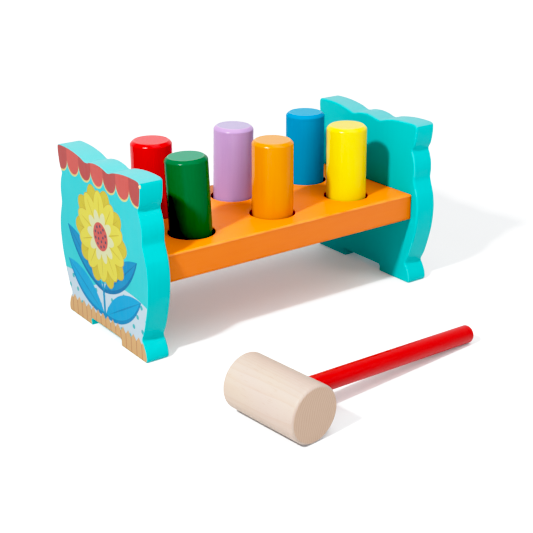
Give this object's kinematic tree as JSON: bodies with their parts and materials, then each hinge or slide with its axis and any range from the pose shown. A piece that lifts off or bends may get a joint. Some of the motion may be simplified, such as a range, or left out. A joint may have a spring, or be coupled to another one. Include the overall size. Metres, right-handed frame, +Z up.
{
  "type": "peg pounding bench",
  "caption": "Wooden pounding bench: painted pegs gripped by rubber rings in a drilled deck between two animal-shaped end boards, with a mallet beside it.",
  "frame": {"origin": "on the floor, under the middle of the box round the whole set as it lies: the bench with its mallet in front", "axes": "+X along the deck, from the printed end that faces the viewer to the other; +Y from the mallet in front to the back of the bench; +Z up"},
  "size_m": [0.26, 0.276, 0.1314],
  "materials": {
    "turquoise_paint": "satin paint",
    "deck_paint": "satin paint",
    "bare_wood": "sanded, unpainted",
    "green_paint": "gloss paint",
    "orange_paint": "gloss paint",
    "yellow_paint": "gloss paint",
    "red_paint": "gloss paint",
    "purple_paint": "gloss paint",
    "blue_paint": "gloss paint",
    "handle_paint": "satin paint",
    "ring_rubber": "matt"
  },
  "bodies": {
    "bench": {"left_end_board": "turquoise_paint", "right_end_board": "turquoise_paint", "deck": "deck_paint", "dowel_left_front": "bare_wood", "dowel_left_rear": "bare_wood", "dowel_right_front": "bare_wood", "dowel_right_rear": "bare_wood", "ring_front_left": "ring_rubber", "ring_front_middle": "ring_rubber", "ring_front_right": "ring_rubber", "ring_rear_left": "ring_rubber", "ring_rear_middle": "ring_rubber", "ring_rear_right": "ring_rubber"},
    "moving_green_peg": {"green_peg": "green_paint"},
    "moving_orange_peg": {"orange_peg": "orange_paint"},
    "moving_yellow_peg": {"yellow_peg": "yellow_paint"},
    "moving_red_peg": {"red_peg": "red_paint"},
    "moving_purple_peg": {"purple_peg": "purple_paint"},
    "moving_blue_peg": {"blue_peg": "blue_paint"},
    "mallet": {"mallet_head": "bare_wood", "mallet_handle": "handle_paint"}
  },
  "joints": [
    {"name": "green_peg_slide", "type": "slide", "parent": "bench", "child": "moving_green_peg", "axis": [-0.0281, 0.0209, 0.9994], "range_m": [-0.056, 0.016]},
    {"name": "orange_peg_slide", "type": "slide", "parent": "bench", "child": "moving_orange_peg", "axis": [0.0052, -0.0036, 1], "range_m": [-0.056, 0.016]},
    {"name": "yellow_peg_slide", "type": "slide", "parent": "bench", "child": "moving_yellow_peg", "axis": [-0.0052, 0.0036, 1], "range_m": [-0.056, 0.016]},
    {"name": "red_peg_slide", "type": "slide", "parent": "bench", "child": "moving_red_peg", "axis": [0.0016, -0.0012, 1], "range_m": [-0.056, 0.016]},
    {"name": "purple_peg_slide", "type": "slide", "parent": "bench", "child": "moving_purple_peg", "axis": [0.0201, -0.0144, 0.9997], "range_m": [-0.056, 0.016]},
    {"name": "blue_peg_slide", "type": "slide", "parent": "bench", "child": "moving_blue_peg", "axis": [0, 0, 1], "range_m": [-0.056, 0.016]},
    {"name": "mallet_lift", "type": "slide", "parent": "bench", "child": "mallet", "axis": [0, 0, 1], "range_m": [0, 0.15]}
  ]
}
